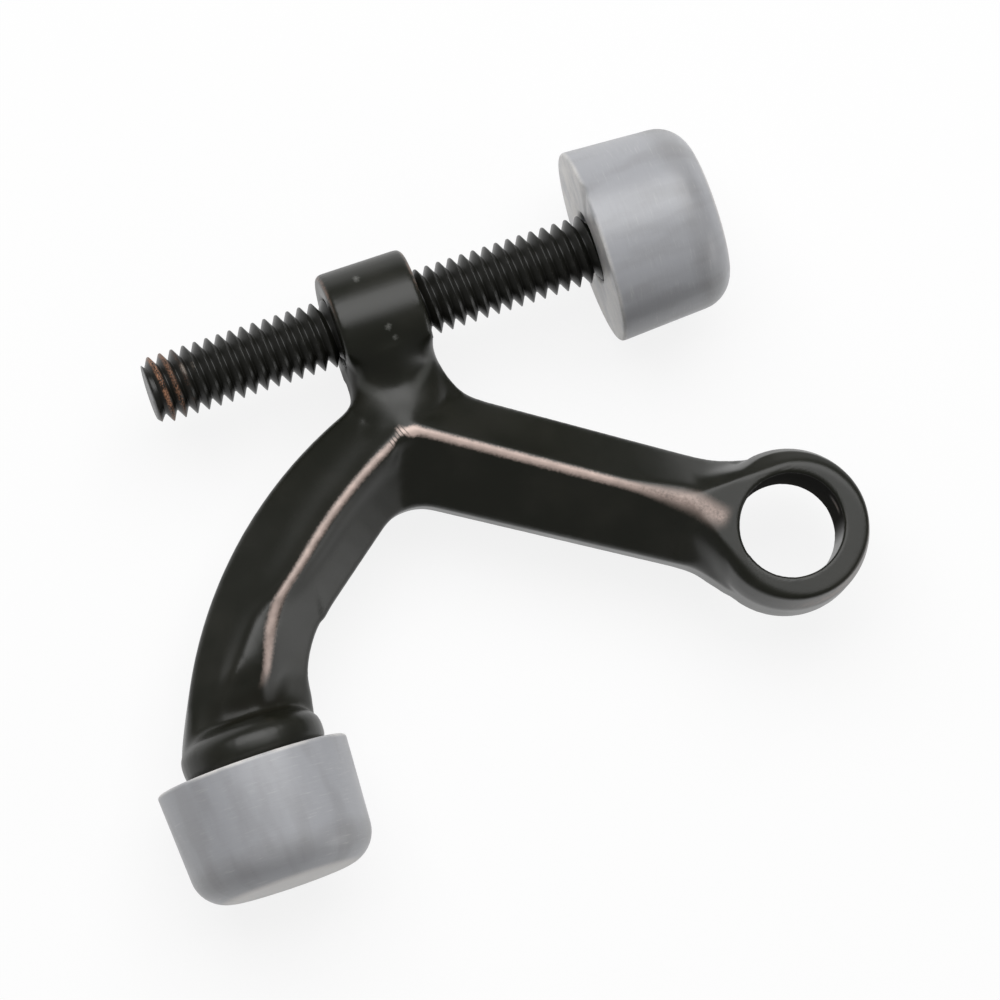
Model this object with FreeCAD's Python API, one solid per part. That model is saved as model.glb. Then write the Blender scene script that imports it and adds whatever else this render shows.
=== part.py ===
import FreeCAD, Part
import math
import os

from FreeCAD import Rotation, Vector

# Hinge pin door stop. A die-cast body hangs on the pin of a door hinge by its ring.
# From the ring a ridged link runs to a hub, and a curved arm runs from the hub to a
# foot. A rubber bumper on the foot meets one surface, and a second bumper on the
# adjusting screw in the hub's boss meets the other.
# Frame: origin at the middle of the pin bore, +Z along the pin, +X along the screw
# towards its bumper. Sizes are in millimetres and angles in degrees from +X.

# Pin ring
pin_bore_d = 12.0
ring_wall = 3.4
ring_thickness = 10.8
ring_face_near_wall = 2.1
ring_face_far_wall = 2.9
ring_flank_foot = 1.2

# Link, straight from the pin bore to the hub, a little wider at the hub than at its neck
link_length = 45.9
link_angle = 147.0
link_outer = 5.8
link_inner = 7.85
neck_outer = 5.55
neck_inner = 6.95
neck_reach = 9.0
neck_outer_round = 14.0
neck_inner_round = 6.0

# Ridge along the link and the curved arm, widening to a facet at the ring and at the foot
ridge_flat = 0.5
ring_facet_start = 20.0
ring_facet_width = 4.5
foot_facet_start = 25.0
foot_facet_tilt = 7.0

# Curved arm, from the hub to the foot
curve_radius = 58.3
curve_heading = 203.0
curve_lead = 12.0
curve_sweep = 70.0
curve_outer = 6.9
curve_inner = 6.1
outer_edge_reach = 5.75
outer_edge_heading = 202.5
outer_edge_radius = 50.8
outer_edge_end_heading = 246.0
inner_edge_reach = 4.6
inner_edge_heading = 217.5
inner_edge_radius = 15.0
inner_corner_round = 5.5

# Boss that carries the adjusting screw, and its web
screw_y = 38.2
boss_radius = 6.8
boss_length = 10.4
boss_x = -37.2
boss_edge = 0.4
web_front = 3.4
web_root = 1.0
web_left_round = 3.0
web_right_round = 8.5
web_hub_slope = 0.75
web_boss_slope = 0.35

# Adjusting screw, 5/16 inch with 18 threads to the inch
screw_d = 7.94
screw_running_gap = 0.06
screw_end_x = -64.6
screw_pitch = 1.411
thread_depth = 1.0
thread_sides = 16

# Foot on the curved arm
foot_x = -67.4
foot_seat_y = -6.15
foot_shift = 0.75
foot_radius = 8.45
foot_height = 5.0
foot_edge = 0.35
foot_edge_height = 0.8
foot_belly = 2.4
foot_crown_radius = 3.5
foot_round_steps = 4
foot_arm_left = 7.3
foot_arm_right = 9.25
foot_arm_depth = 3.0
foot_trim_height = 10.4
foot_trim_slope = 0.5

# Rubber bumpers, the same moulding on the foot and on the screw
bumper_radius = 11.4
bumper_length = 14.4
bumper_end_radius = 10.6
bumper_round = 3.8
bumper_round_steps = 4
bumper_rim = 0.4
bumper_lip = 4.0
screw_bumper_x = -10.9

# Disc heads that hold the bumpers on
head_d = 14.6
head_thickness = 2.8
head_gap = 0.25

ring_radius = pin_bore_d / 2 + ring_wall
half_thickness = ring_thickness / 2
up = Vector(0, 0, 1)
plan_up = Vector(0, 1, 0)


def heading(angle):
    """Unit vector in the plan at an angle from +X."""
    return Vector(math.cos(math.radians(angle)), math.sin(math.radians(angle)), 0)


def meet(first, first_run, second, second_run):
    """Point where two lines in the plan cross."""
    cross = first_run.x * second_run.y - first_run.y * second_run.x
    gap = second - first
    share = (gap.x * second_run.y - gap.y * second_run.x) / cross
    return first + first_run * share


link_run = heading(link_angle)
link_side = heading(link_angle - 90)
hub = link_run * link_length
curve_center = hub + heading(curve_heading + 90) * curve_radius
boss_left = boss_x - boss_length / 2
boss_right = boss_x + boss_length / 2
foot_seat = Vector(foot_x, foot_seat_y, 0)
knob_seat = Vector(foot_x + foot_shift, foot_seat_y, 0)
foot_arm_y = foot_seat_y + foot_arm_depth
screw_mouth = Vector(screw_bumper_x, screw_y, 0)
screw_back = Vector(-1, 0, 0)
neck_top = link_run * neck_reach + link_side * neck_outer
neck_bottom = link_run * neck_reach - link_side * neck_inner
outer_run = heading(outer_edge_heading)
outer_point = hub + heading(outer_edge_heading - 90) * outer_edge_reach
inner_run = heading(inner_edge_heading)
inner_point = hub + heading(inner_edge_heading + 90) * inner_edge_reach
link_bottom_run = hub - link_side * link_inner - neck_bottom
inner_corner = meet(neck_bottom, link_bottom_run, inner_point, inner_run)


def rounded(corners):
    """Closed wire in the plan through (point, radius) corners, each rounded to its radius."""
    starts = []
    ends = []
    edges = []
    count = len(corners)
    for index, (point, radius) in enumerate(corners):
        before = point - corners[index - 1][0]
        after = corners[(index + 1) % count][0] - point
        before.normalize()
        after.normalize()
        half_turn = before.getAngle(after) / 2
        starts.append(point - before * radius * math.tan(half_turn))
        ends.append(point + after * radius * math.tan(half_turn))
        if radius > 0:
            toward = after - before
            toward.normalize()
            middle = point + toward * radius * (1 / math.cos(half_turn) - 1)
            edges.append(Part.Arc(starts[index], middle, ends[index]).toShape())
    for index in range(count):
        edges.append(Part.makeLine(ends[index - 1], starts[index]))
    return Part.Wire(Part.__sortEdges__(edges))


def ring_touch(corner, turn):
    """Point where a line from a corner just touches the ring, turned to one side."""
    base = math.degrees(math.atan2(corner.y, corner.x))
    spread = math.degrees(math.acos(ring_radius / corner.Length))
    return heading(base + turn * spread) * ring_radius


def plan_outline():
    """Outline of the link, the web and the curved arm in the plan."""
    link_top_run = hub + link_side * link_outer - neck_top
    foot_left = Vector(foot_x - foot_arm_left, foot_arm_y, 0)
    foot_right = Vector(foot_x + foot_arm_right, foot_arm_y, 0)
    return rounded([
        (ring_touch(neck_top, -1), 0),
        (neck_top, neck_outer_round),
        (meet(neck_top, link_top_run, Vector(boss_right, 0, 0), plan_up), web_right_round),
        (Vector(boss_right, screw_y, 0), 0),
        (Vector(boss_left, screw_y, 0), 0),
        (meet(outer_point, outer_run, Vector(boss_left, 0, 0), plan_up), web_left_round),
        (meet(outer_point, outer_run, foot_left, heading(outer_edge_end_heading)), outer_edge_radius),
        (foot_left, 0),
        (foot_right, 0),
        (meet(inner_point, inner_run, foot_right, plan_up), inner_edge_radius),
        (inner_corner, inner_corner_round),
        (neck_bottom, neck_inner_round),
        (ring_touch(neck_bottom, 1), 0),
    ])


def roof_section(center, outward, outer, inner, flat):
    """Roof section with a narrow top, whose slopes cross mid height at the given half widths."""
    top = flat / 2
    corners = (
        (top - 2 * inner, -half_thickness),
        (-top, half_thickness),
        (top, half_thickness),
        (2 * outer - top, -half_thickness),
    )
    points = [center + outward * side + up * z for side, z in corners]
    return Part.makePolygon(points + points[:1])


def half_space(point, normal):
    """Block that fills the side of a plane towards its normal."""
    size = 4 * link_length
    block = Part.makeBox(size, size, size, Vector(-size / 2, -size / 2, 0))
    block.Placement = FreeCAD.Placement(point, Rotation(up, normal))
    return block


def link_roof():
    """Roof over the link, with the ridge widening to a facet before the ring."""
    sections = []
    stations = (
        (2 * link_length, ridge_flat),
        (ring_facet_start, ridge_flat),
        (ring_radius / 2, ring_facet_width),
    )
    for distance, flat in stations:
        sections.append(roof_section(link_run * distance, link_side, link_outer, link_inner, flat))
    return Part.makeLoft(sections, True, True)


def curve_roof():
    """Roof over the curved arm, with the ridge falling to a facet before the foot."""
    outward = heading(curve_heading - 90)
    section = roof_section(hub, outward, curve_outer, curve_inner, ridge_flat)
    section.rotate(curve_center, up, -curve_lead)
    roof = Part.Face(section).revolve(curve_center, up, curve_sweep)
    facet_run = heading(curve_heading + foot_facet_start)
    facet_point = curve_center + heading(curve_heading + foot_facet_start - 90) * curve_radius
    facet_tilt = Rotation(up.cross(facet_run), foot_facet_tilt)
    return roof.cut(half_space(facet_point + up * half_thickness, facet_tilt.multVec(up)))


def web_roof():
    """Roof over the web, its ridge running from the hub up to the boss."""
    sections = []
    stations = (
        (Vector(hub.x, hub.y - web_root, 0), half_thickness, web_hub_slope),
        (Vector(boss_x, screw_y, 0), web_front, web_boss_slope),
    )
    for center, front, slope in stations:
        drop = boss_length * slope
        corners = (
            (-boss_length, -half_thickness),
            (-boss_length, front - drop),
            (0, front),
            (boss_length, front - drop),
            (boss_length, -half_thickness),
        )
        points = [center + Vector(x, 0, z) for x, z in corners]
        sections.append(Part.makePolygon(points + points[:1]))
    return Part.makeLoft(sections, True, True)


def ridged_bar():
    """Link, web and curved arm: the plan's outline under three roofs that meet at the hub."""
    outline = Part.Face(plan_outline())
    outline.translate(up * -half_thickness)
    block = outline.extrude(up * ring_thickness)
    to_curve = (inner_corner - hub).cross(up)
    link = link_roof().cut(half_space(hub, to_curve))
    curve = curve_roof().cut(half_space(hub, to_curve * -1))
    bar = block.common(link.fuse([curve, web_roof()]))
    trim_base = foot_radius - foot_trim_slope * foot_arm_depth
    trim_top = trim_base + foot_trim_slope * foot_trim_height
    cone = Part.makeCone(trim_base, trim_top, foot_trim_height, knob_seat, plan_up)
    size = 4 * foot_radius
    around = Part.makeBox(size, foot_trim_height, size, knob_seat - Vector(size / 2, 0, size / 2))
    return bar.cut(around.cut(cone))


def pin_ring():
    """Ring with an upright wall, and a flank that leans in towards its face beside the link."""
    face_radius = (pin_bore_d + ring_face_near_wall + ring_face_far_wall) / 2
    face_shift = (ring_face_near_wall - ring_face_far_wall) / 2
    face_center = link_run * face_shift + up * half_thickness
    wall_height = half_thickness + ring_flank_foot
    wall = Part.makeCylinder(ring_radius, wall_height, up * -half_thickness)
    foot_circle = Part.Wire(Part.makeCircle(ring_radius, up * ring_flank_foot))
    face_circle = Part.Wire(Part.makeCircle(face_radius, face_center))
    flank = Part.makeLoft([foot_circle, face_circle], True, True)
    return wall.fuse(flank)


def screw_boss():
    """Collar round the adjusting screw, with softened ends."""
    start = Vector(boss_left, screw_y, 0)
    collar = Part.makeCylinder(boss_radius, boss_length, start, Vector(1, 0, 0))
    ends = [edge for edge in collar.Edges if edge.Closed]
    return collar.makeChamfer(boss_edge, ends)


def turned(profile):
    """Solid of revolution about +Z from (radius, height) corners."""
    points = [Vector(radius, 0, height) for radius, height in profile]
    wire = Part.makePolygon(points + points[:1])
    return Part.Face(wire).revolve(Vector(0, 0, 0), up, 360)


def foot_knob():
    """Domed knob of the foot, about +Z with its seat on the bumper at zero."""
    profile = [
        (0, 0),
        (foot_radius - foot_edge, 0),
        (foot_radius, foot_edge_height),
    ]
    for step in range(foot_round_steps + 1):
        turn = math.radians(90 * step / foot_round_steps)
        radius = foot_crown_radius + (foot_radius - foot_crown_radius) * math.cos(turn)
        height = foot_belly + (foot_height - foot_belly) * math.sin(turn)
        profile.append((radius, height))
    profile.append((0, foot_height))
    return turned(profile)


def bumper_stud(diameter):
    """Stud with a disc head, reaching from a bumper's mouth into its pocket along -Z."""
    shank_length = bumper_lip + head_gap
    shank = Part.makeCylinder(diameter / 2, shank_length, up * -shank_length)
    head = Part.makeCylinder(head_d / 2, head_thickness, up * (-shank_length - head_thickness))
    return shank.fuse(head)


def bumper():
    """Rubber cup about -Z with its mouth at zero: tapered, round-ended, with a pocket for the head."""
    profile = [
        (0, 0),
        (bumper_radius - bumper_rim, 0),
        (bumper_radius, -bumper_rim),
    ]
    for step in range(bumper_round_steps + 1):
        turn = math.radians(90 * step / bumper_round_steps)
        radius = bumper_end_radius - bumper_round * (1 - math.cos(turn))
        height = bumper_round * (1 - math.sin(turn)) - bumper_length
        profile.append((radius, height))
    profile.append((0, -bumper_length))
    mouth_radius = screw_d / 2 + head_gap
    mouth = Part.makeCylinder(mouth_radius, bumper_lip, up * -bumper_lip)
    pocket_height = head_thickness + 2 * head_gap
    pocket = Part.makeCylinder(head_d / 2 + head_gap, pocket_height, up * (-bumper_lip - pocket_height))
    return turned(profile).cut(mouth.fuse(pocket))


def placed(shape, origin, axis):
    """Copy of a shape made about +Z, moved so that its +Z runs along an axis from an origin."""
    copy = shape.copy()
    copy.Placement = FreeCAD.Placement(origin, Rotation(up, axis))
    return copy


def cast_body():
    """Ring, ridged bar, boss and foot as one casting, bored for the pin and the screw."""
    knob = placed(foot_knob(), knob_seat, plan_up)
    stud = placed(bumper_stud(screw_d), foot_seat, plan_up)
    body = ridged_bar().fuse([pin_ring(), screw_boss(), knob, stud])
    pin_hole = Part.makeCylinder(pin_bore_d / 2, ring_thickness * 2, up * -ring_thickness)
    screw_hole = Part.makeCylinder(
        screw_d / 2 + screw_running_gap,
        boss_length * 2,
        Vector(boss_x - boss_length, screw_y, 0),
        Vector(1, 0, 0),
    )
    return body.cut([pin_hole, screw_hole]).removeSplitter()


def many_sided(radius, height):
    """Corners of a level polygon about +Z with the thread's number of sides."""
    return [heading(360 * side / thread_sides) * radius + up * height for side in range(thread_sides)]


def flat_face(corners):
    """Plane face through corners in order."""
    return Part.Face(Part.makePolygon(corners + corners[:1]))


def threaded_rod(length):
    """Rod about +Z with a level V ridge at each pitch, many-sided so that every face is plane."""
    crest = screw_d / 2
    root = crest - thread_depth
    rings = []
    for ridge in range(int(length / screw_pitch)):
        rings.append(many_sided(root, ridge * screw_pitch))
        rings.append(many_sided(crest, (ridge + 1 / 2) * screw_pitch))
    rings.append(many_sided(root, length))
    faces = [flat_face(rings[0]), flat_face(rings[-1])]
    for low, high in zip(rings, rings[1:]):
        for side in range(thread_sides):
            faces.append(flat_face([low[side - 1], low[side], high[side], high[side - 1]]))
    return Part.makeSolid(Part.makeShell(faces))


def adjusting_screw():
    """Threaded rod with a disc head inside its bumper."""
    rod = threaded_rod(screw_bumper_x - screw_end_x)
    return placed(rod.fuse(bumper_stud(screw_d)), screw_mouth, screw_back)


os.makedirs("parts", exist_ok=True)
nodes = {
    "cast_body": cast_body(),
    "adjusting_screw": adjusting_screw(),
    "screw_bumper": placed(bumper(), screw_mouth, screw_back),
    "foot_bumper": placed(bumper(), foot_seat, plan_up),
}
for name, shape in nodes.items():
    solid = shape.Solids[0]
    solid.exportStep("parts/" + name + ".step")
    print(name, len(shape.Solids), solid.isValid(), round(solid.Volume, 1), solid.BoundBox)
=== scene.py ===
import math

import bmesh
import bpy
from bpy.props import FloatProperty, FloatVectorProperty, IntProperty, PointerProperty
from mathutils import Matrix, Vector


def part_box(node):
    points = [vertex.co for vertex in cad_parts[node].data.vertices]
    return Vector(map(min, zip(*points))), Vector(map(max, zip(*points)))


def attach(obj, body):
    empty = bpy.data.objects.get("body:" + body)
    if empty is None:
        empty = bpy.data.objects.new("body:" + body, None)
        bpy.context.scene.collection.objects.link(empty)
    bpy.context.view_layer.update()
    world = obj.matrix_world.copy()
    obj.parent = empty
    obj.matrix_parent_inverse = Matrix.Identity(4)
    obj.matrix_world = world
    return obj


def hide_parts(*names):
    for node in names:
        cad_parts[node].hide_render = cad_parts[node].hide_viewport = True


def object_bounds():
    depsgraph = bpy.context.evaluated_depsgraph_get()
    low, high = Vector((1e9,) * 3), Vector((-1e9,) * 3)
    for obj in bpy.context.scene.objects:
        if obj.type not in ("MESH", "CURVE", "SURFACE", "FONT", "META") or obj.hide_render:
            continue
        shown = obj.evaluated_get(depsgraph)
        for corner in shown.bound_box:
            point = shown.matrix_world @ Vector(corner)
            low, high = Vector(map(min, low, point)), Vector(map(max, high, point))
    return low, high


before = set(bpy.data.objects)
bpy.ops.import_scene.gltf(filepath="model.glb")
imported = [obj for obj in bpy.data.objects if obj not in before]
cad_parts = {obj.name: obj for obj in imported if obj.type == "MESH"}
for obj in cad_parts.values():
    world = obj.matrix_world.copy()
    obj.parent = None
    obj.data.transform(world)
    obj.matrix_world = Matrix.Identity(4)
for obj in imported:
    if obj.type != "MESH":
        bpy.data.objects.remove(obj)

bl_info = {
    "name": "Hinge Pin Door Stop",
    "version": (1, 0, 0),
    "blender": (4, 5, 0),
    "location": "View3D > Sidebar > Door Stop",
    "description": "Dresses a cast hinge pin door stop with its finish, thread, rubber and studio",
    "category": "Object",
}

MM = 0.001
CAD_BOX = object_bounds()
SCREW_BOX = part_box("adjusting_screw")
SCREW_BUMPER_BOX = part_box("screw_bumper")
FOOT_BUMPER_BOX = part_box("foot_bumper")

# Places on the part, in millimetres, and a few slopes.
SCREW_LINE = 38.2
BOSS_MIDDLE = -37.2
BOSS_RADIUS = 6.8
WEB_MIDDLE = -38.2
WEB_LEAN = 0.12
WEB_FOOT = 24.6
WEB_TOP = 34.4
WEB_CROWN = 0.035
FOOT_TOP = 12.0
FOOT_RIGHT = -54.0
RIDGE_BEND = 0.155
RIDGE_BEND_TOP = 11.3
RING_REACH = 13.5
RING_SLOPE = 0.95
RING_EDGE = (7.2, 12.5)
BAR_FROM = 11
BAR_TOP = 31
DRAFT_FROM = 10
DRAFT_TOP = 33
RUBBER_RADIUS = 11.4
NICKED_SPOT = (-39.9, 24.5)
FLECKS = ((-38.4, 42.7), (-36.8, 36.1), (-36.4, 34.8))
PALE_SPOT = (-60.0, 39.2)

# Spots on the casting that are smoothed, in millimetres: centre, reach and lowest height.
BOSS_FOOT = ((-37.3, 30.6), (6.4, 5.2), 0.8)
BOSS_RIGHT = ((-34.4, 32.0), (3.0, 2.4), 0.0)
BOSS_LEFT = ((-41.4, 32.0), (2.6, 2.6), 0.0)
NECK = ((-9.4, 6.0), (4.2, 5.6), 0.6)
NECK_HIGH = ((-4.6, 8.4), (3.4, 2.8), 0.0)
NECK_LOW = ((-8.8, -0.4), (3.2, 3.6), 0.0)
ARM_FLAT = ((-63.2, 7.4), (4.6, 5.4), 1.5)
FOOT_JOIN = ((-66.6, -0.6), (14.0, 3.2), -9.0)
RIDGE_CORNER = ((-40.0, 23.4), (4.6, 4.2), 1.5)
SPOT_RINGS = (1.0, 0.87, 0.74, 0.6)

# The studio: where each soft box stands from the target and its size, in metres, and the floor.
KEY_PLACE = Vector((0.06, 0.38, 0.72))
KEY_SIZE = (1.05, 0.70)
SIDE_PLACE = Vector((0.65, -0.46, 0.12))
SIDE_SIZE = (0.34, 0.24)
FLOOR_HALF = 3.0
FLOOR_GAP = 0.2 * MM
FLOOR_WHITE = 0.85

# What a mesh is tested against: the fewest faces of a skin, and how near a vertex counts as on a ring.
FEWEST_FACES = 10000
NEAR = 0.01 * MM


def length(label, about, default):
    """A size property in scene units."""
    return FloatProperty(
        name=label, description=about, default=default, min=0, precision=5, unit="LENGTH"
    )


def count(label, about, default):
    """A whole number property."""
    return IntProperty(name=label, description=about, default=default, min=0)


def colour(label, about, default):
    """A colour property."""
    return FloatVectorProperty(
        name=label, description=about, default=default, min=0, max=1, size=3, subtype="COLOR"
    )


def place(label, about, default):
    """A place property in scene units."""
    return FloatVectorProperty(
        name=label, description=about, default=default, size=3, subtype="TRANSLATION"
    )


class CastingSizes(bpy.types.PropertyGroup):
    """What can be changed on the casting."""

    grain: length("Skin grain", "Edge length of the smoothed skin's faces", 0.32 * MM)
    edge_passes: count("Edge passes", "Smoothing passes over every edge", 3)
    bar_passes: count("Bar passes", "More smoothing passes over the ridged bar", 4)
    blend_passes: count("Blend passes", "Smoothing passes where the boss meets the hub", 80)
    neck_passes: count("Neck passes", "Smoothing passes at the ring's neck and other small joins", 28)
    foot_passes: count("Foot passes", "Smoothing passes where the curved arm meets the foot", 36)
    corner_passes: count("Corner passes", "Smoothing passes where the two ridges meet", 16)
    hub: place("Hub", "Where the two ridges meet", (-38.5 * MM, 25.0 * MM, 0))
    hub_ease: length("Hub ease", "How far the ridges' corner is drawn in", 0.77 * MM)
    hub_link_reach: length("Hub reach on the link", "How far the eased corner runs along the link", 1.1 * MM)
    hub_arm_reach: length("Hub reach on the arm", "How far the eased corner runs along the arm", 2.8 * MM)
    ridge_lean: length("Ridge lean", "How far the curved arm's ridge leans inwards", 0.65 * MM)
    draft: length("Draft", "How much a wall of the bar's back half draws in", 0.25 * MM)
    bar_half: length("Bar half", "Half the bar's thickness, for the draft", 5.4 * MM)
    bar_side: length("Bar side", "Half the bar's width, for the draft", 6.2 * MM)
    foot_slim: length("Foot slimming", "How far the arm's inner side draws in above the foot", 0.45 * MM)
    foot_drop: length("Foot drop", "How far the arm's front falls towards the foot's knob", 1.0 * MM)
    foot_flat: length("Foot flat", "Height of the flat beside the ridge above the foot", 4.75 * MM)
    ridge_top: length("Ridge top", "Height of the ridges and of the ring's face", 5.4 * MM)
    saddle_drop: FloatProperty(
        name="Saddle drop", description="Fall of the web from the hub to the boss", default=0.40
    )
    ring_face: length("Ring face", "Radius of the ring's flat face", 7.9 * MM)
    ring_center: place("Ring face centre", "Centre of the ring's flat face", (0.7 * MM, -0.8 * MM, 0))
    ring_tip: length("Ring face tip", "Where the flat face runs out on the link's ridge", 12.5 * MM)
    curve_center: place("Curve centre", "Centre of the curved arm's ridge", (-15.72 * MM, -28.67 * MM, 0))
    curve_radius: length("Curve radius", "Radius of the curved arm's ridge", 58.3 * MM)
    wear_width: length("Wear width", "Half the width of the worn line on the ridges", 0.40 * MM)
    bronze: colour("Bronze", "Dark oil-rubbed finish", (0.0074, 0.0079, 0.0046))
    bronze_thin: colour("Bronze, thin", "The finish where it is thin", (0.0120, 0.0120, 0.0080))
    # Painted sheen: a lighter colour in the fillet round the boss, standing for the light caught there.
    bronze_painted_sheen: colour("Bronze, painted sheen", "Painted sheen in the fillet round the boss", (0.050, 0.051, 0.046))
    copper: colour("Copper", "Bare metal on worn edges", (0.56, 0.44, 0.39))
    # Half-worn metal on the ring's rim and the boss's ends, and a painted glint in the bore.
    brown_wear_and_glint: colour("Brown", "Half-worn metal on rims, and a painted glint in the bore", (0.20, 0.125, 0.09))
    fleck: colour("Fleck", "Pale flecks on the boss", (0.42, 0.42, 0.40))
    # Painted shade: a matt dark laid in the bore, the crease above the foot's knob and the web's left wall.
    painted_shade: colour("Painted shade", "Matt dark in the bore and the creases", (0.014, 0.013, 0.010))


class ScrewSizes(bpy.types.PropertyGroup):
    """What can be changed on the adjusting screw."""

    crest_radius: length("Crest radius", "Outer radius of the thread", 3.97 * MM)
    pitch: length("Pitch", "Distance from one turn of the thread to the next", 1.411 * MM)
    depth: length("Thread depth", "Height of a tooth", 1.05 * MM)
    crest: length("Crest", "Flat on top of a tooth", 0.10 * MM)
    root: length("Root", "Flat between two teeth", 0.14 * MM)
    chamfer: length("Chamfer", "Chamfer on the free end", 0.7 * MM)
    turn_steps: count("Steps per turn", "Faces round one turn", 40)
    head_radius: length("Head radius", "Disc head inside the rubber", 7.3 * MM)
    head_steps: count("Head steps", "Faces round the disc head", 64)
    head_thickness: length("Head thickness", "Thickness of the disc head", 2.8 * MM)
    head_depth: length("Head depth", "From the rubber's mouth to the head", 4.25 * MM)
    black: colour("Black", "Black oxide on the steel", (0.0062, 0.0062, 0.0046))
    grey: colour("Grey", "Oxide rubbed thin on the flanks", (0.050, 0.050, 0.046))
    rust: colour("Rust", "Warm wear on the first turns", (0.40, 0.19, 0.105))
    pale: colour("Pale", "Bare spot on the crests", (0.40, 0.34, 0.29))


class BumperSizes(bpy.types.PropertyGroup):
    """What can be changed on the two rubber bumpers."""

    taper: length("Taper", "How much the far end is narrower than the mouth", 0.8 * MM)
    end_round: length("End round", "Rounding of the far end", 3.8 * MM)
    rim_round: length("Rim round", "Rounding of the mouth's rim", 0.45 * MM)
    nick: place("Nick", "Nick in the rim of the screw's bumper", (-10.7 * MM, 43.7 * MM, 9.7 * MM))
    nick_depth: length("Nick depth", "How deep the nick is", 0.45 * MM)
    nick_reach: length("Nick reach", "How far the nick spreads", 1.3 * MM)
    mouth_radius: length("Mouth radius", "Hole for the stud", 4.22 * MM)
    lip: length("Lip", "Thickness of the wall behind the head", 4.0 * MM)
    pocket_radius: length("Pocket radius", "Pocket round the head", 7.55 * MM)
    pocket_height: length("Pocket height", "Height of the pocket", 3.3 * MM)
    steps: count("Steps", "Faces round the rubber", 128)
    end_steps: count("End steps", "Faces over the far end's rounding", 10)
    rim_steps: count("Rim steps", "Faces over the outer rim's rounding", 4)
    mouth_steps: count("Mouth steps", "Faces over the mouth's rounding", 3)
    rubber: colour("Rubber", "Grey of the rubber", (0.335, 0.34, 0.36))
    shadow: colour("Rubbed", "Darker rubbed patches", (0.235, 0.235, 0.24))
    # Paler colour for rubber blooming on rubbed edges, and a painted highlight on the mouth's rim.
    bloom_and_rim_highlight: colour("Bloom and rim highlight", "Paler bloom on rubbed edges", (0.66, 0.64, 0.615))


class StageSizes(bpy.types.PropertyGroup):
    """What can be changed on the stage."""

    target: place("Target", "Point in the middle of the picture", (-30.345 * MM, 13.785 * MM, 0))
    view: FloatVectorProperty(
        name="View", description="Direction from the target to the camera",
        default=(-0.1225, -0.0937, 1.0), size=3, subtype="DIRECTION",
    )
    distance: length("Distance", "From the target to the camera", 1699.3 * MM)
    width: length("Frame width", "Width of the picture at the target", 114.853 * MM)
    roll: FloatProperty(
        name="Roll", description="Turn of the camera about its view",
        default=math.radians(18.335), subtype="ANGLE",
    )
    floor: colour("Floor", "Pale studio floor", (0.86, 0.86, 0.86))
    room_light: FloatProperty(
        name="Room light", description="Light from all round", default=0.24, min=0
    )
    key_power: FloatProperty(
        name="Key power", description="Overhead soft box", default=8.5, min=0, unit="POWER"
    )
    side_power: FloatProperty(
        name="Side power", description="Low soft box", default=0.8, min=0, unit="POWER"
    )


class Value:
    """A number that varies over a surface, so that shader maths reads as a sum."""

    def __init__(self, finish, socket):
        self.finish = finish
        self.socket = socket

    def math(self, operation, first, second=None):
        sockets = {0: first} if second is None else {0: first, 1: second}
        return self.finish.value("ShaderNodeMath", {"operation": operation}, sockets)

    def __add__(self, other):
        return self.math("ADD", self, other)

    def __radd__(self, other):
        return self.math("ADD", other, self)

    def __sub__(self, other):
        return self.math("SUBTRACT", self, other)

    def __rsub__(self, other):
        return self.math("SUBTRACT", other, self)

    def __mul__(self, other):
        return self.math("MULTIPLY", self, other)

    def __rmul__(self, other):
        return self.math("MULTIPLY", other, self)

    def __truediv__(self, other):
        return self.math("DIVIDE", self, other)

    def __pow__(self, other):
        return self.math("POWER", self, other)

    def __abs__(self):
        return self.math("ABSOLUTE", self)

    def root(self):
        return self.math("SQRT", self)

    def angle(self, other):
        return self.math("ARCTAN2", self, other)

    def sine(self):
        return self.math("SINE", self)

    def least(self, other):
        return self.math("MINIMUM", self, other)

    def most(self, other):
        return self.math("MAXIMUM", self, other)

    def rise(self, low, high):
        """Smooth step from 0 at low to 1 at high."""
        return self.finish.value(
            "ShaderNodeMapRange", {"interpolation_type": "SMOOTHSTEP"},
            {0: self, 1: low, 2: high, 3: 0.0, 4: 1.0},
        )

    def fall(self, low, high):
        """Smooth step from 1 at low to 0 at high."""
        return 1 - self.rise(low, high)


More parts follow.
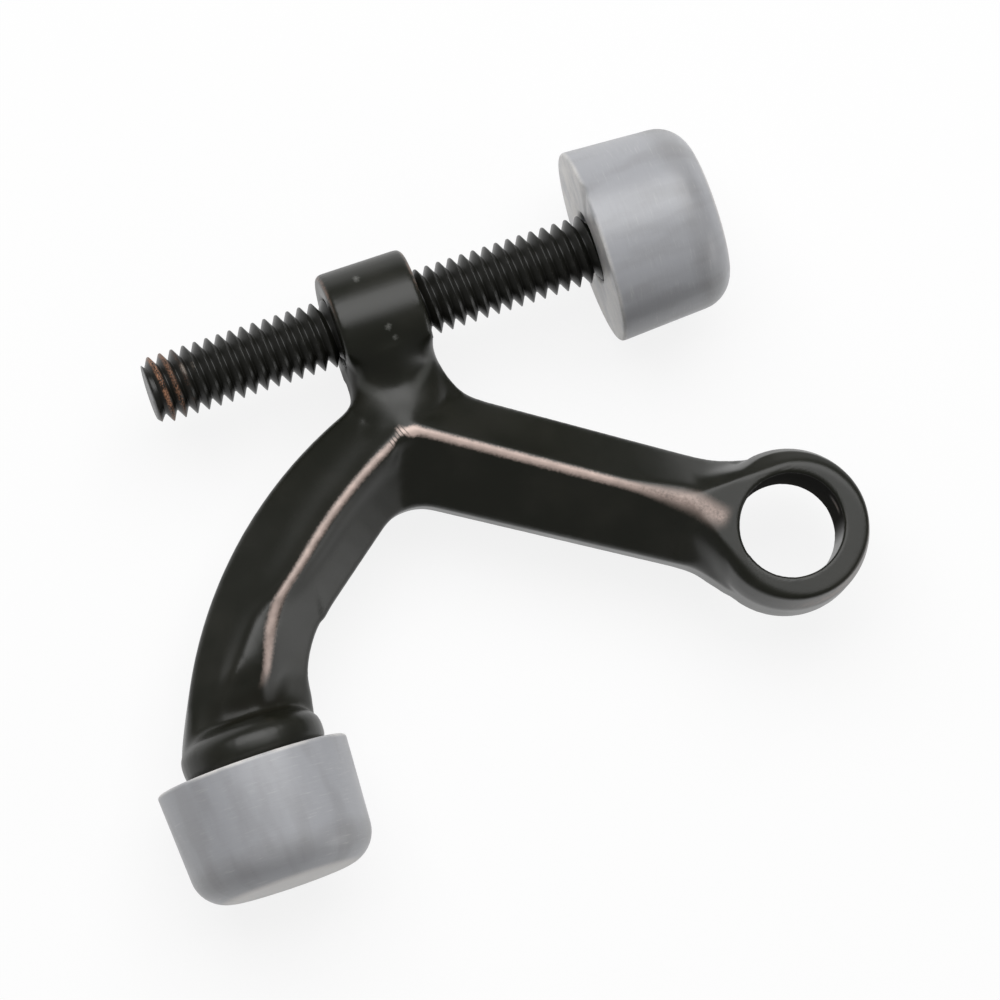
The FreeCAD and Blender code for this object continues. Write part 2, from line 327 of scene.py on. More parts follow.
class Finish:
    """A surface finish under construction."""

    def __init__(self, name):
        self.material = bpy.data.materials.new(name)
        self.material.use_nodes = True
        self.tree = self.material.node_tree
        self.tree.nodes.clear()

    def node(self, kind, settings, sockets):
        """Makes one node: its settings first, then the values or links of its sockets."""
        made = self.tree.nodes.new(kind)
        for key, setting in settings.items():
            setattr(made, key, setting)
        for key, given in sockets.items():
            if isinstance(given, Value):
                self.tree.links.new(given.socket, made.inputs[key])
            else:
                made.inputs[key].default_value = given
        return made

    def value(self, kind, settings, sockets, output=0):
        return Value(self, self.node(kind, settings, sockets).outputs[output])

    def coordinates(self, layer=None):
        """The surface point in millimetres, as a vector and as three numbers."""
        if layer:
            point = self.value("ShaderNodeAttribute", {"attribute_name": layer}, {}, "Vector")
        else:
            point = self.value("ShaderNodeTexCoord", {}, {}, "Object")
        point = self.value("ShaderNodeVectorMath", {"operation": "SCALE"}, {0: point, "Scale": 1000.0})
        split = self.node("ShaderNodeSeparateXYZ", {}, {0: point})
        x, y, z = (Value(self, output) for output in split.outputs)
        return point, x, y, z

    def noise(self, point, scale, detail=3.0, rough=0.5):
        """Noise about 0.5 with so many waves to a millimetre."""
        return self.value(
            "ShaderNodeTexNoise", {"noise_dimensions": "3D"},
            {"Vector": point, "Scale": scale, "Detail": detail, "Roughness": rough},
        )

    def point(self, x, y, z):
        """A point put together from three numbers."""
        return self.value("ShaderNodeCombineXYZ", {}, {0: x, 1: y, 2: z})

    def blend(self, factor, first, second):
        """Colour mixed from the first to the second."""
        return self.value(
            "ShaderNodeMix", {"data_type": "RGBA", "clamp_factor": True},
            {0: factor, 6: first, 7: second}, 2,
        )

    def bump(self, height, strength, distance):
        return self.value(
            "ShaderNodeBump", {}, {"Strength": strength, "Distance": distance, "Height": height}
        )

    def shader(self, sockets):
        return self.value("ShaderNodeBsdfPrincipled", {}, sockets)

    def close(self, shader):
        """Ends the finish with its shader and returns the material."""
        self.node("ShaderNodeOutputMaterial", {}, {"Surface": shader})
        return self.material


def shade(value):
    """A colour property as a shader colour."""
    return (value[0], value[1], value[2], 1.0)


def apart(x, y, spot):
    """How far a surface point lies from a spot, in plan."""
    return ((x - spot[0]) ** 2 + (y - spot[1]) ** 2).root()


def beside_web(x, y):
    """How far a point lies to either side of the web between the hub and the boss."""
    return abs(x - WEB_MIDDLE - (y - WEB_FOOT) * WEB_LEAN)


def ridge_wear(sizes, x, y, z, ragged, rubbed):
    """Copper along the two ridges: wide by the ring, nicked by the hub, gone at the foot."""
    hub = Vector(sizes.hub) * 1000
    center = Vector(sizes.curve_center) * 1000
    half = sizes.wear_width * 1000
    along = hub.normalized()
    reach = x * along.x + y * along.y
    across = abs(y * along.x - x * along.y - 0.3 - reach.fall(7.5, 12.0))
    branch = y.fall(2.5, 11.5) * 1.75
    off_curve = abs(apart(x, y, center) - sizes.curve_radius * 1000 + branch)
    on_link = (x - hub.x + 1.2).rise(-1.2, 1.2)
    corner = apart(x, y, (hub.x + 0.8, hub.y - 0.5))
    off_ridge = across * on_link + off_curve * (1 - on_link)
    off_ridge = off_ridge - corner.fall(0.2, 1.3) * 0.25

    facet = reach.fall(14.0, 24.0) * on_link
    low_arm = y.fall(9.0, 16.0) * y.rise(4.5, 7.5) * (1 - on_link)
    spread = 1 + reach.fall(9.0, 20.0) * on_link * 1.8 + low_arm * 0.2
    strength = (1 - facet * 0.46) * (1 - reach.fall(6.6, 8.4) * on_link) * y.rise(1.2, 4.0)
    strength = strength * (0.70 + on_link * 0.28 + rubbed * 0.7 + ragged * facet * 1.4)
    line = (off_ridge / spread + ragged * (0.5 - facet * 0.2)).fall(half * 0.2, half * 1.8)
    stripes = (((x * 0.94 + y * 0.34) * 13.0).sine() + ragged).rise(0.2, 0.8)
    nicks = stripes * apart(x, y, NICKED_SPOT).fall(1.0, 1.9)
    return line * z.rise(2.6, 4.0) * strength * (1 - nicks * 0.75)


def bronze_finish(sizes):
    """Oil-rubbed bronze: near-black satin, with copper showing where hands and doors rub it, and painted
    shade, sheen and glint.
    """
    finish = Finish("oil_rubbed_bronze")
    point, x, y, z = finish.coordinates("cast_place")
    grain = finish.noise(point, 6.0, 4.0, 0.6)
    cloud = finish.noise(point, 0.16, 3.0)
    ragged = finish.noise(point, 3.2, 4.0, 0.65) - 0.5
    rubbed = finish.noise(point, 0.8, 3.0) - 0.5
    wear = ridge_wear(sizes, x, y, z, ragged, rubbed)

    from_pin = apart(x, y, (0, 0))
    ring_rim = from_pin.rise(8.7, 9.2) * from_pin.fall(9.6, 9.9)
    ring_rim = ring_rim * z.rise(1.0, 2.6) * (x - y).rise(4.0, 11.0)
    # The bore's inner wall, which gets painted shade and a rougher skin.
    in_bore = from_pin.fall(6.02, 6.30) * z.fall(4.8, 5.2) * y.rise(-3.5, -0.5)
    # Painted glint: a brown reflection on the bore's far wall, where the painted shade is also thinned so
    # the glossy skin shows.
    glint = in_bore * (x - 5.2).rise(0.0, 0.5)
    glint = glint * abs(z - 2.6).fall(0.2, 1.2) * abs(y - 0.9).fall(0.4, 1.5)
    from_screw = ((y - SCREW_LINE) ** 2 + z ** 2).root()
    boss_end = abs(abs(x - BOSS_MIDDLE) - 5.1).fall(0.05, 0.4)
    boss_end = boss_end * from_screw.rise(6.1, 6.5) * y.rise(38.0, 43.0)
    brown_wear_and_glint = (ring_rim * 0.5).most(glint * 0.9).most(boss_end * 0.7)
    brown_wear_and_glint = brown_wear_and_glint * (ragged + rubbed + 0.5).rise(0.25, 0.65)

    fleck = apart(x, y, FLECKS[0])
    fleck = fleck.least(apart(x, y, FLECKS[1]))
    fleck = fleck.least(apart(x, y, FLECKS[2]) + 0.08)
    flecks = (fleck + ragged * 1.3).fall(0.0, 0.55) * fleck.fall(0.3, 0.7) * z.rise(2.0, 3.0)

    web_side = beside_web(x, y)
    # Painted sheen along the U-shaped fillet round the boss's foot.
    painted_sheen = (abs(y - 28.4 - web_side ** 2 * 0.19) / (1 + web_side * 0.25)).fall(0.1, 0.9)
    painted_sheen = painted_sheen * web_side.rise(1.2, 2.6) * web_side.fall(4.8, 5.5)
    painted_sheen = painted_sheen * y.fall(32.4, 33.4) * z.rise(-0.5, 0.5)
    # Painted shade on the web's steep left wall, where the floor's reflection would show bright.
    web_wall = x.fall(-42.3, -41.6) * y.rise(28.5, 30.5) * y.fall(33.5, 35.0) * z.fall(2.5, 4.0)
    # Painted shade in the crease above the foot's knob.
    crease = y.rise(-1.7, -1.2) * y.fall(0.2, 2.6) * z.rise(0.8, 2.0)
    crease = crease * x.rise(-71.5, -68.0) * x.fall(-60.0, -57.0)

    tone = finish.blend(cloud.rise(0.40, 0.75), shade(sizes.bronze), shade(sizes.bronze_thin))
    tone = finish.blend(painted_sheen * 0.8, tone, shade(sizes.bronze_painted_sheen))
    tone = finish.blend(brown_wear_and_glint, tone, shade(sizes.brown_wear_and_glint))
    tone = finish.blend(flecks * 0.22, tone, shade(sizes.fleck))
    tone = finish.blend(wear, tone, shade(sizes.copper))
    rough = 0.33 + (cloud - 0.5) * 0.12 + (grain - 0.5) * 0.10 + wear * 0.14 + in_bore * 0.3
    height = grain * 0.35 + finish.noise(point, 1.1, 2.0) * 0.4 - wear * ragged * 0.3
    skin = finish.shader({
        "Base Color": tone,
        "Metallic": wear * 0.3,
        "Roughness": rough,
        "Specular IOR Level": 0.40,
        "Normal": finish.bump(height, 0.12, 0.05 * MM),
    })
    # Painted shade: a matt dark diffuse mixed over the bore, the crease and the web's left wall.
    painted_shade = finish.value("ShaderNodeBsdfDiffuse", {}, {"Color": shade(sizes.painted_shade)})
    shadowed = (in_bore * (1 - glint * 0.6) * 0.9).most(crease * 0.5).most(web_wall * 0.6)
    return finish.close(finish.value("ShaderNodeMixShader", {}, {0: shadowed, 1: skin, 2: painted_shade}))


def black_screw(sizes):
    """Black oxide steel with bright flanks, and rust-coloured wear on the first turns."""
    finish = Finish("black_oxide_thread")
    point, x, y, z = finish.coordinates()
    fine = finish.noise(point, 5.0, 4.0, 0.6)
    patch = finish.noise(point, 0.9, 3.0)
    free_end = SCREW_BOX[0][0] * 1000
    middle = (SCREW_BOX[0][1] + SCREW_BOX[1][1]) / 2 * 1000
    radius = ((y - middle) ** 2 + z ** 2).root()
    crest = (radius + (fine - 0.5) * 0.3).rise(3.35, 3.9)
    near_end = (x + (patch - 0.5) * 4).fall(free_end + 0.8, free_end + 4.6)
    warm = near_end * crest * (fine + patch * 0.5).rise(0.62, 0.9)
    pale = (apart(x, y, PALE_SPOT) + (fine - 0.5) * 1.6).fall(0.3, 1.0) * crest * 0.5
    bright = crest * (patch * 0.7 + fine * 0.6).rise(0.66, 0.9)
    tone = finish.blend(bright * 0.5, shade(sizes.black), shade(sizes.grey))
    tone = finish.blend(warm, tone, shade(sizes.rust))
    tone = finish.blend(pale, tone, shade(sizes.pale))
    return finish.close(finish.shader({
        "Base Color": tone,
        "Metallic": bright * 0.2,
        "Roughness": 0.34 + (fine - 0.5) * 0.25 + warm * 0.2,
        "Specular IOR Level": 0.40,
        "Normal": finish.bump(fine, 0.15, 0.05 * MM),
    }))


def grey_rubber(name, sizes, mouth, far):
    """Grey satin rubber with paler rims, partly blooming and partly a painted highlight, and faint rub
    marks.
    """
    finish = Finish(name)
    point, x, y, z = finish.coordinates()
    fine = finish.noise(point, 6.0, 3.0, 0.55)
    cloud = finish.noise(point, 0.24, 3.0)
    axis = (far - mouth).normalized()
    deep = x * axis.x + y * axis.y - mouth.dot(axis) * 1000
    side = y * axis.x - x * axis.y - (mouth.y * axis.x - mouth.x * axis.y) * 1000
    round_it = side.angle(z) * RUBBER_RADIUS
    tall = (far - mouth).length * 1000
    marks = finish.noise(finish.point(deep * 4.2, round_it * 0.32, z * 0.2), 1.0, 5.0, 0.7)
    sweep = finish.noise(finish.point(deep * 0.10, round_it * 0.30, 3.0), 1.0, 3.0)
    scratch = marks.rise(0.55, 0.74) * cloud.rise(0.30, 0.60) * 0.25
    # Painted highlight on the mouth's rim, partly rubber blooming, in the paler colour.
    rim = deep.fall(0.05, 0.6) * (cloud + fine * 0.3).rise(0.35, 0.85)
    far_face = (deep - tall + (fine - 0.5) * 0.3).rise(-0.5, -0.05)
    band = (deep - tall + (cloud - 0.5) * 2.4).rise(-5.4, -3.4) * (deep - tall).fall(-2.2, -0.6)
    dull = sweep.rise(0.42, 0.66) * 0.35 + marks.fall(0.32, 0.48) * 0.12 + band * 0.45
    tone = finish.blend(dull, shade(sizes.rubber), shade(sizes.shadow))
    tone = finish.blend(rim.most(scratch).most(far_face * 0.75), tone, shade(sizes.bloom_and_rim_highlight))
    return finish.close(finish.shader({
        "Base Color": tone,
        "Roughness": 0.35 + (cloud - 0.5) * 0.16 + (fine - 0.5) * 0.1 + far_face * 0.15,
        "Specular IOR Level": 0.58,
        "Normal": finish.bump(fine * 0.4 + marks * 0.4 + cloud * 2.4, 0.20, 0.10 * MM),
    }))


def pale_floor(sizes):
    """Pale floor: white to the camera, with the object's shadow kept."""
    finish = Finish("pale_floor")
    path = finish.node("ShaderNodeLightPath", {}, {})
    seen = Value(finish, path.outputs["Is Camera Ray"])
    seen = seen.most(Value(finish, path.outputs["Is Glossy Ray"]))
    seen = seen.most(Value(finish, path.outputs["Is Transmission Ray"]))
    matt = finish.value("ShaderNodeBsdfDiffuse", {}, {"Color": shade(sizes.floor)})
    white = finish.value("ShaderNodeEmission", {}, {"Color": (1, 1, 1, 1), "Strength": 1.0})
    mixed = finish.value("ShaderNodeMixShader", {}, {0: seen * FLOOR_WHITE, 1: matt, 2: white})
    return finish.close(mixed)


def finished(name, mesh, body, node, material):
    """Puts a mesh in the scene as a piece that stands for a node."""
    mesh.materials.clear()
    mesh.materials.append(material)
    mesh.polygons.foreach_set("use_smooth", [True] * len(mesh.polygons))
    piece = bpy.data.objects.new(name, mesh)
    bpy.context.scene.collection.objects.link(piece)
    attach(piece, body)
    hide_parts(node)


def fine_skin(node, grain):
    """A node's solid as a bmesh skin of small even faces."""
    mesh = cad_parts[node].data.copy()
    shell = bmesh.new()
    shell.from_mesh(mesh)
    bmesh.ops.remove_doubles(shell, verts=shell.verts, dist=0.002 * MM)
    shell.to_mesh(mesh)
    shell.free()
    carrier = bpy.data.objects.new("skin_carrier", mesh)
    bpy.context.scene.collection.objects.link(carrier)
    remesh = carrier.modifiers.new("skin", "REMESH")
    remesh.mode = "VOXEL"
    remesh.voxel_size = grain
    bpy.context.view_layer.update()
    graph = bpy.context.evaluated_depsgraph_get()
    fine = bpy.data.meshes.new_from_object(carrier.evaluated_get(graph))
    bpy.data.objects.remove(carrier)
    if len(fine.polygons) < FEWEST_FACES:
        raise RuntimeError("the casting's skin came out empty")
    skin = bmesh.new()
    skin.from_mesh(fine)
    bpy.data.meshes.remove(fine)
    return skin


def ease(skin, verts, passes):
    """Smooths some of a skin's vertices so many times."""
    for _ in range(passes):
        bmesh.ops.smooth_vert(
            skin, verts=verts, factor=0.5, use_axis_x=True, use_axis_y=True, use_axis_z=True
        )


def ease_round(skin, spot, passes):
    """Smooths a skin above a height in an ellipse about a centre, more towards its middle."""
    center, reach, lowest = spot
    for part in SPOT_RINGS:
        near = []
        for vert in skin.verts:
            far_x = (vert.co.x / MM - center[0]) / (reach[0] * part)
            far_y = (vert.co.y / MM - center[1]) / (reach[1] * part)
            if far_x * far_x + far_y * far_y < 1 and vert.co.z / MM > lowest:
                near.append(vert)
        ease(skin, near, passes // len(SPOT_RINGS))


def share(value, low, high):
    """Smooth share from 0 at low to 1 at high, either way round."""
    part = min(max((value - low) / (high - low), 0), 1)
    return part * part * (3 - 2 * part)


def draw_corner(skin, sizes):
    """Draws in the corner where the two ridges meet at the hub."""
    hub = Vector(sizes.hub)
    for vert in skin.verts:
        along = vert.co.x - hub.x
        reach = sizes.hub_link_reach if along > 0 else sizes.hub_arm_reach
        near = max(1 - abs(along) / reach, 0) * share(abs(vert.co.y - hub.y) / MM, 3.0, 0.6)
        vert.co.y -= sizes.hub_ease * near * share(vert.co.z / MM, 2.0, 4.6)


def lean_ridge(skin, sizes):
    """Leans the curved arm's ridge a little towards the inside of the curve."""
    center = Vector(sizes.curve_center).xy
    for vert in skin.verts:
        out = vert.co.xy - center
        off = abs(out.length - sizes.curve_radius) / MM
        near = share(off, 4.5, 1.0) * share(vert.co.z / MM, 2.0, 4.8)
        near *= share(vert.co.y / MM, 9.0, 15.0) * share((vert.co.x - sizes.hub[0]) / MM, -0.5, -3.0)
        vert.co.xy -= out.normalized() * sizes.ridge_lean * near


def draft_back(skin, sizes):
    """Gives the bar's back half the draft of a casting, from the parting line in its middle plane."""
    center = Vector(sizes.curve_center).xy
    along = Vector(sizes.hub).xy.normalized()
    beside = Vector((-along.y, along.x))
    for vert in skin.verts:
        spot = vert.co.xy
        if vert.co.z > 0 or spot.length < DRAFT_FROM * MM or spot.y > DRAFT_TOP * MM:
            continue
        on_link = share((spot.x - sizes.hub[0]) / MM, -2.4, 0.0)
        narrow = sizes.draft * vert.co.z / sizes.bar_half / sizes.bar_side
        out = spot - center
        off_curve = (out.length - sizes.curve_radius) * share(spot.y / MM, -1.0, 4.0)
        off_link = spot.dot(beside) * share(spot.length / MM, DRAFT_FROM, 14.0)
        on_arm = out.normalized() * off_curve * narrow * (1 - on_link)
        vert.co.xy += on_arm + beside * off_link * narrow * on_link


def form_foot(skin, sizes):
    """Ramps the arm's front down to the foot's knob, and leaves a flat beside the ridge above it."""
    center = Vector(sizes.curve_center).xy
    for vert in skin.verts:
        x, y, z = vert.co / MM
        if y > FOOT_TOP or x > FOOT_RIGHT:
            continue
        off_curve = ((vert.co.xy - center).length - sizes.curve_radius) / MM
        off_ridge = off_curve + RIDGE_BEND * max(RIDGE_BEND_TOP - y, 0)
        slim = share(x, -66.0, -57.0) * share(y, FOOT_TOP, 5.0) * share(y, -1.0, 2.5)
        vert.co.x -= sizes.foot_slim * slim
        front = share(z, 1.0, 3.0)
        wide = 2.6 - 0.28 * (y - 6)
        flat = share(off_ridge, wide + 1.6, wide - 1.0) * share(off_ridge, -0.9, 0.1)
        flat *= share(y, 2.4, 5.2) * share(y, FOOT_TOP, 8.5)
        vert.co.z += (sizes.foot_flat - vert.co.z) * flat * front
        ramp = share(y, 5.0, -3.0) * share(y, -1.9, -1.2)
        vert.co.z -= sizes.foot_drop * ramp * front


def form_saddle(skin, sizes):
    """Draws the web between the hub and the boss into a saddle with a fillet round the boss."""
    top = sizes.ridge_top / MM
    for vert in skin.verts:
        x, y, z = vert.co / MM
        if z < 0.5 or not WEB_FOOT < y < WEB_TOP or vert.normal.z < 0.1:
            continue
        side = beside_web(x, y)
        crown = max(0.12 - 0.015 * (y - 25), WEB_CROWN)
        slope = top - sizes.saddle_drop * (y - 24.5) - crown * side * side
        base = top - sizes.saddle_drop * 5.4 - WEB_CROWN * side * side
        fillet = base + max(y - 28.8 - 0.22 * side * side, 0) ** 2 / 6
        boss = math.sqrt(max(BOSS_RADIUS ** 2 - (SCREW_LINE - y) ** 2, 0))
        weight = share(side, 5.6, 4.0) * share(y, 24.8, 27.4) * share(y, WEB_TOP, 32.6)
        vert.co.z += (max(slope, fillet, boss) - z) * weight * MM


def form_ring(skin, sizes):
    """Gives the ring a flat face that runs to a tip on the link's ridge, and slopes away outside it."""
    center = Vector(sizes.ring_center).xy / MM
    radius = sizes.ring_face / MM
    along = Vector(sizes.hub).xy.normalized()
    toward = along * (sizes.ring_tip / MM) - center
    sine = radius / toward.length
    cosine = math.sqrt(1 - sine * sine)
    toward.normalize()
    for vert in skin.verts:
        spot = vert.co.xy / MM
        height = vert.co.z / MM
        if height < 0 or spot.length > RING_REACH:
            continue
        run = (spot - center).dot(toward)
        off = abs((spot - center).cross(toward))
        from_face = math.hypot(run, off) - radius
        if run * cosine > off * sine:
            from_face = run * sine + off * cosine - radius
        level = sizes.ridge_top / MM - RING_SLOPE * max(from_face, 0)
        weight = share(spot.dot(along), 13.0, 10.0)
        if height < level:
            weight *= share(from_face, 2.4, 0.8) * share(vert.normal.z, 0.2, 0.5)
            weight *= share(spot.length, 6.02, 6.2)
        vert.co.z += (level - height) * weight * MM


def casting_skin(sizes):
    """The casting's solid as one fine skin with its edges eased and its arms blended."""
    skin = fine_skin("cast_body", sizes.grain)
    ease(skin, skin.verts, sizes.edge_passes)
    layer = skin.verts.layers.float_vector.new("cast_place")
    for vert in skin.verts:
        vert[layer] = vert.co
    skin.normal_update()
    draw_corner(skin, sizes)
    lean_ridge(skin, sizes)
    draft_back(skin, sizes)
    form_foot(skin, sizes)
    form_saddle(skin, sizes)
    form_ring(skin, sizes)
    bar = []
    for vert in skin.verts:
        if vert.co.xy.length > BAR_FROM * MM and vert.co.y < BAR_TOP * MM:
            bar.append(vert)
    ease(skin, bar, sizes.bar_passes)
    ease_round(skin, BOSS_FOOT, sizes.blend_passes)
    ease_round(skin, BOSS_RIGHT, sizes.neck_passes * 2)
    ease_round(skin, BOSS_LEFT, sizes.neck_passes * 2)
    ease_round(skin, NECK, sizes.neck_passes)
    ease_round(skin, NECK_HIGH, sizes.neck_passes * 2)
    ease_round(skin, NECK_LOW, sizes.neck_passes * 2)
    skin.normal_update()
    form_ring(skin, sizes)
    ring = []
    for vert in skin.verts:
        if RING_EDGE[0] * MM < vert.co.xy.length < RING_EDGE[1] * MM:
            ring.append(vert)
    ease(skin, ring, sizes.edge_passes)
    ease_round(skin, ARM_FLAT, sizes.neck_passes)
    ease_round(skin, FOOT_JOIN, sizes.foot_passes)
    ease_round(skin, RIDGE_CORNER, sizes.corner_passes)
    mesh = bpy.data.meshes.new("casting_skin")
    skin.to_mesh(mesh)
    skin.free()
    return mesh


def turned(profile, steps):
    """Spins a line of (radius, height) corners round Z."""
    form = bmesh.new()
    line = [form.verts.new((radius, 0, height)) for radius, height in profile]
    edges = [form.edges.new(pair) for pair in zip(line, line[1:])]
    bmesh.ops.spin(
        form, geom=line + edges, cent=(0, 0, 0), axis=(0, 0, 1), dvec=(0, 0, 0),
        angle=math.tau, steps=steps, use_merge=True, use_duplicate=False,
    )
    bmesh.ops.remove_doubles(form, verts=form.verts, dist=0.001 * MM)
    bmesh.ops.recalc_face_normals(form, faces=form.faces)
    return form


def round_ring(form, height, radius, size, segments):
    """Rounds the ring of edges at one height and radius of a turned form."""
    ring = []
    for edge in form.edges:
        at_height = all(abs(vert.co.z - height) < NEAR for vert in edge.verts)
        if at_height and all(abs(vert.co.xy.length - radius) < NEAR for vert in edge.verts):
            ring.append(edge)
    if not ring:
        raise RuntimeError("no edge to round at that height")
    bmesh.ops.bevel(
        form, geom=ring, offset=size, offset_type="OFFSET", affect="EDGES",
        segments=segments, profile=0.5, material=-1, clamp_overlap=True,
    )


def bumper_form(sizes, radius, tall):
    """The rubber cup about Z: mouth at zero, far end above."""
    end_radius = radius - sizes.taper
    pocket_top = sizes.lip + sizes.pocket_height
    form = turned(
        [
            (0, pocket_top),
            (sizes.pocket_radius, pocket_top),
            (sizes.pocket_radius, sizes.lip),
            (sizes.mouth_radius, sizes.lip),
            (sizes.mouth_radius, 0),
            (radius, 0),
            (end_radius, tall),
            (0, tall),
        ],
        sizes.steps,
    )
    round_ring(form, tall, end_radius, sizes.end_round, sizes.end_steps)
    round_ring(form, 0, radius, sizes.rim_round, sizes.rim_steps)
    round_ring(form, 0, sizes.mouth_radius, sizes.rim_round, sizes.mouth_steps)
    return form


def cut_nick(mesh, sizes, axis):
    """Presses a small nick into the rim of a bumper."""
    for vert in mesh.vertices:
        near = max(1 - (vert.co - Vector(sizes.nick)).length / sizes.nick_reach, 0)
        vert.co += axis * sizes.nick_depth * near


def onto(form, origin, axis):
    """Moves a form made about +Z so that its +Z runs along an axis from an origin, as a mesh."""
    turn = Vector((0, 0, 1)).rotation_difference(axis).to_matrix().to_4x4()
    bmesh.ops.transform(form, matrix=Matrix.Translation(origin) @ turn, verts=form.verts)
    mesh = bpy.data.meshes.new("piece")
    form.to_mesh(mesh)
    form.free()
    return mesh


def screw_form(sizes):
    """The threaded rod about +Z: free end at zero, head at the top."""
    radius = sizes.crest_radius
    inner = radius - sizes.depth
    rod_top = SCREW_BUMPER_BOX[0][0] - SCREW_BOX[0][0] + sizes.head_depth
    turns = math.ceil(rod_top / sizes.pitch) + 2
    flank = (sizes.pitch - sizes.crest - sizes.root) / 2
    low = -sizes.pitch
    tooth = (
        (inner, low),
        (radius, low + flank),
        (radius, low + flank + sizes.crest),
        (inner, low + 2 * flank + sizes.crest),
        (inner, low + sizes.pitch),
    )
    form = bmesh.new()
    line = [form.verts.new((across, 0, height)) for across, height in tooth]
    edges = [form.edges.new(pair) for pair in zip(line, line[1:])]
    bmesh.ops.spin(
        form, geom=line + edges, cent=(0, 0, 0), axis=(0, 0, 1),
        dvec=(0, 0, sizes.pitch / sizes.turn_steps), angle=math.tau * turns,
        steps=turns * sizes.turn_steps, use_merge=False, use_duplicate=False,
    )
    bmesh.ops.remove_doubles(form, verts=form.verts, dist=0.004 * MM)
    for height, free_end in ((0.0, True), (rod_top, False)):
        everything = form.verts[:] + form.edges[:] + form.faces[:]
        bmesh.ops.bisect_plane(
            form, geom=everything, plane_co=(0, 0, height), plane_no=(0, 0, 1),
            clear_inner=free_end, clear_outer=not free_end,
        )
    for vert in form.verts:
        limit = radius - sizes.chamfer + vert.co.z
        if vert.co.xy.length > limit:
            vert.co.xy = vert.co.xy.normalized() * limit
    open_edges = [edge for edge in form.edges if edge.is_boundary]
    bmesh.ops.holes_fill(form, edges=open_edges, sides=0)
    bmesh.ops.recalc_face_normals(form, faces=form.faces)
    head = turned(
        [
            (0, rod_top),
            (sizes.head_radius, rod_top),
            (sizes.head_radius, rod_top + sizes.head_thickness),
            (0, rod_top + sizes.head_thickness),
        ],
        sizes.head_steps,
    )
    disc = bpy.data.meshes.new("disc")
    head.to_mesh(disc)
    head.free()
    form.from_mesh(disc)
    bpy.data.meshes.remove(disc)
    return form


def soft_box(name, where, target, size, power):
    """A soft box that faces a target."""
    light = bpy.data.lights.new(name, "AREA")
    light.shape = "RECTANGLE"
    light.size, light.size_y = size
    light.energy = power
    box = bpy.data.objects.new(name, light)
    bpy.context.scene.collection.objects.link(box)
    box.location = where
    box.rotation_euler = (where - target).to_track_quat("Z", "Y").to_euler()


def studio_room(sizes):
    """Soft light from all round."""
    world = bpy.data.worlds.new("studio_room")
    world.use_nodes = True
    bpy.context.scene.world = world
    back = world.node_tree.nodes["Background"]
    back.inputs["Color"].default_value = (1, 1, 1, 1)
    back.inputs["Strength"].default_value = sizes.room_light


class DOORSTOP_OT_stage(bpy.types.Operator):
    """Set up the camera, the floor and the studio light"""

    bl_idname = "doorstop.stage"
    bl_label = "Stage"

    def execute(self, context):
        sizes = context.scene.doorstop_stage
        scene = context.scene
        target = Vector(sizes.target)
        view = Vector(sizes.view).normalized()
        level = Vector((math.cos(sizes.roll), -math.sin(sizes.roll), 0))
        right = (level - view * level.dot(view)).normalized()
        camera = bpy.data.cameras.new("photo_camera")
        camera.sensor_width = 36
        camera.lens = camera.sensor_width * sizes.distance / sizes.width
        camera.clip_start = 0.01
        camera.clip_end = 10
        watcher = bpy.data.objects.new("photo_camera", camera)
        scene.collection.objects.link(watcher)
        stand = Matrix((right, view.cross(right), view)).transposed().to_4x4()
        watcher.matrix_world = Matrix.Translation(target + view * sizes.distance) @ stand
        scene.camera = watcher

        form = bmesh.new()
        bmesh.ops.create_grid(form, x_segments=1, y_segments=1, size=FLOOR_HALF)
        under = CAD_BOX[0][2] - FLOOR_GAP
        bmesh.ops.translate(form, verts=form.verts, vec=(target.x, target.y, under))
        mesh = bpy.data.meshes.new("studio_floor")
        form.to_mesh(mesh)
        form.free()
        mesh.materials.append(pale_floor(sizes))
        floor = bpy.data.objects.new("studio_floor", mesh)
        scene.collection.objects.link(floor)

        studio_room(sizes)
        soft_box("key_box", target + KEY_PLACE, target, KEY_SIZE, sizes.key_power)
        soft_box("side_box", target + SIDE_PLACE, target, SIDE_SIZE, sizes.side_power)
        scene.view_settings.view_transform = "Standard"
        return {"FINISHED"}


class DOORSTOP_OT_casting(bpy.types.Operator):
    """Skin the casting and give it its oil-rubbed bronze finish"""

    bl_idname = "doorstop.casting"
    bl_label = "Casting"

    def execute(self, context):
        sizes = context.scene.doorstop_casting
        mesh = casting_skin(sizes)
        finished("casting_skin", mesh, "casting", "cast_body", bronze_finish(sizes))
        return {"FINISHED"}


class DOORSTOP_OT_screw(bpy.types.Operator):
    """Cut the adjusting screw's thread and blacken it"""

    bl_idname = "doorstop.screw"
    bl_label = "Adjusting screw"

    def execute(self, context):
        sizes = context.scene.doorstop_screw
        middle = (Vector(SCREW_BOX[0]) + Vector(SCREW_BOX[1])) / 2
        origin = Vector((SCREW_BOX[0][0], middle.y, middle.z))
        mesh = onto(screw_form(sizes), origin, Vector((1, 0, 0)))
        finished("screw_thread", mesh, "screw", "adjusting_screw", black_screw(sizes))
        return {"FINISHED"}


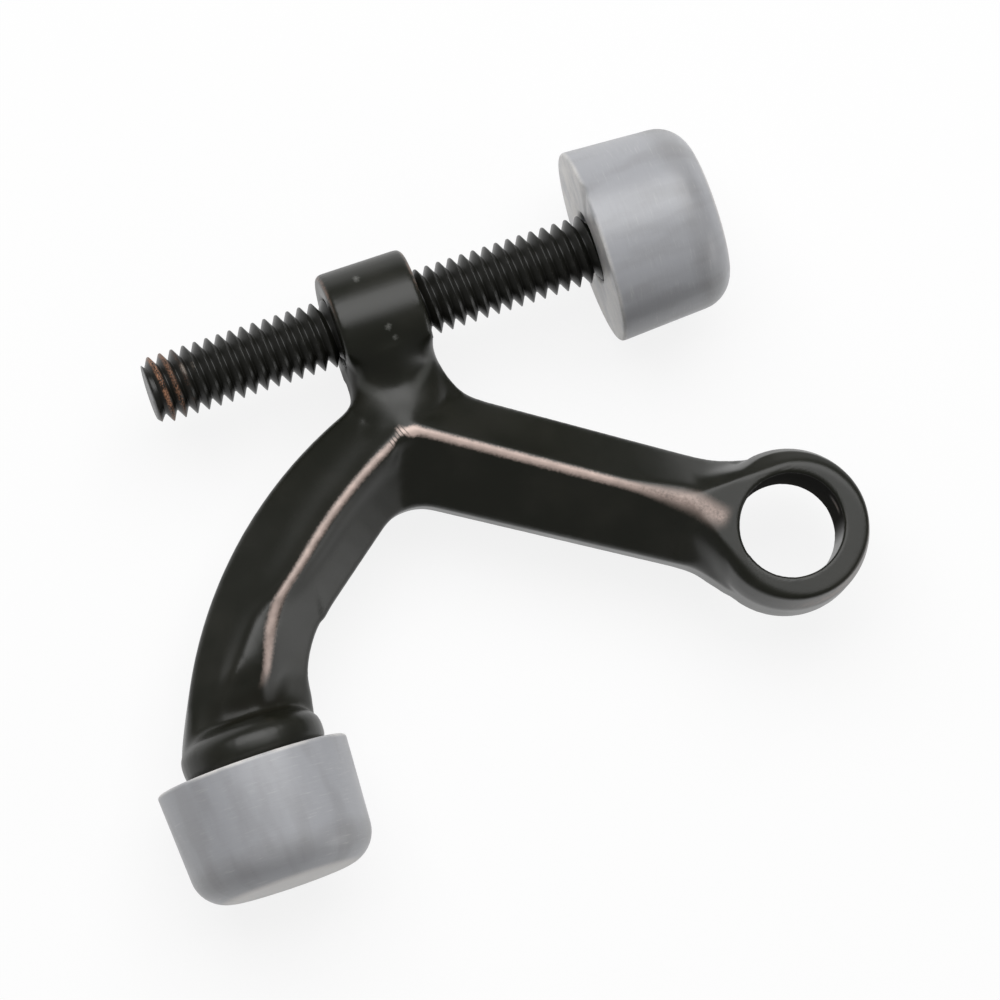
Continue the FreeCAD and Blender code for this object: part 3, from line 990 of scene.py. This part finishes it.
class DOORSTOP_OT_bumpers(bpy.types.Operator):
    """Mould the two rubber bumpers"""

    bl_idname = "doorstop.bumpers"
    bl_label = "Bumpers"

    def execute(self, context):
        sizes = context.scene.doorstop_bumper
        low, high = (Vector(corner) for corner in SCREW_BUMPER_BOX)
        middle = (low + high) / 2
        mouth = Vector((low.x, middle.y, middle.z))
        far = Vector((high.x, middle.y, middle.z))
        form = bumper_form(sizes, (high.y - low.y) / 2, high.x - low.x)
        mesh = onto(form, mouth, Vector((1, 0, 0)))
        cut_nick(mesh, sizes, Vector((1, 0, 0)))
        rubber = grey_rubber("screw_bumper_rubber", sizes, mouth, far)
        finished("screw_bumper_rubber", mesh, "tip", "screw_bumper", rubber)

        low, high = (Vector(corner) for corner in FOOT_BUMPER_BOX)
        middle = (low + high) / 2
        mouth = Vector((middle.x, high.y, middle.z))
        far = Vector((middle.x, low.y, middle.z))
        form = bumper_form(sizes, (high.x - low.x) / 2, high.y - low.y)
        mesh = onto(form, mouth, Vector((0, -1, 0)))
        rubber = grey_rubber("foot_bumper_rubber", sizes, mouth, far)
        finished("foot_bumper_rubber", mesh, "casting", "foot_bumper", rubber)
        return {"FINISHED"}


class DOORSTOP_PT_panel(bpy.types.Panel):
    """Lists the door stop's pieces and their sizes"""

    bl_idname = "DOORSTOP_PT_panel"
    bl_label = "Door Stop"
    bl_space_type = "VIEW_3D"
    bl_region_type = "UI"
    bl_category = "Door Stop"

    def draw(self, context):
        rows = (
            (DOORSTOP_OT_stage, context.scene.doorstop_stage),
            (DOORSTOP_OT_casting, context.scene.doorstop_casting),
            (DOORSTOP_OT_screw, context.scene.doorstop_screw),
            (DOORSTOP_OT_bumpers, context.scene.doorstop_bumper),
        )
        for operator, sizes in rows:
            box = self.layout.box()
            box.operator(operator.bl_idname)
            for name in sizes.__annotations__:
                box.prop(sizes, name)


GROUPS = {
    "doorstop_stage": StageSizes,
    "doorstop_casting": CastingSizes,
    "doorstop_screw": ScrewSizes,
    "doorstop_bumper": BumperSizes,
}
CLASSES = (
    *GROUPS.values(),
    DOORSTOP_OT_stage,
    DOORSTOP_OT_casting,
    DOORSTOP_OT_screw,
    DOORSTOP_OT_bumpers,
    DOORSTOP_PT_panel,
)


def register():
    for kind in CLASSES:
        bpy.utils.register_class(kind)
    for name, group in GROUPS.items():
        setattr(bpy.types.Scene, name, PointerProperty(type=group))


def unregister():
    for name in GROUPS:
        delattr(bpy.types.Scene, name)
    for kind in reversed(CLASSES):
        bpy.utils.unregister_class(kind)


def main():
    register()
    bpy.ops.doorstop.stage()
    bpy.ops.doorstop.casting()
    bpy.ops.doorstop.screw()
    bpy.ops.doorstop.bumpers()


if __name__ == "__main__":
    main()
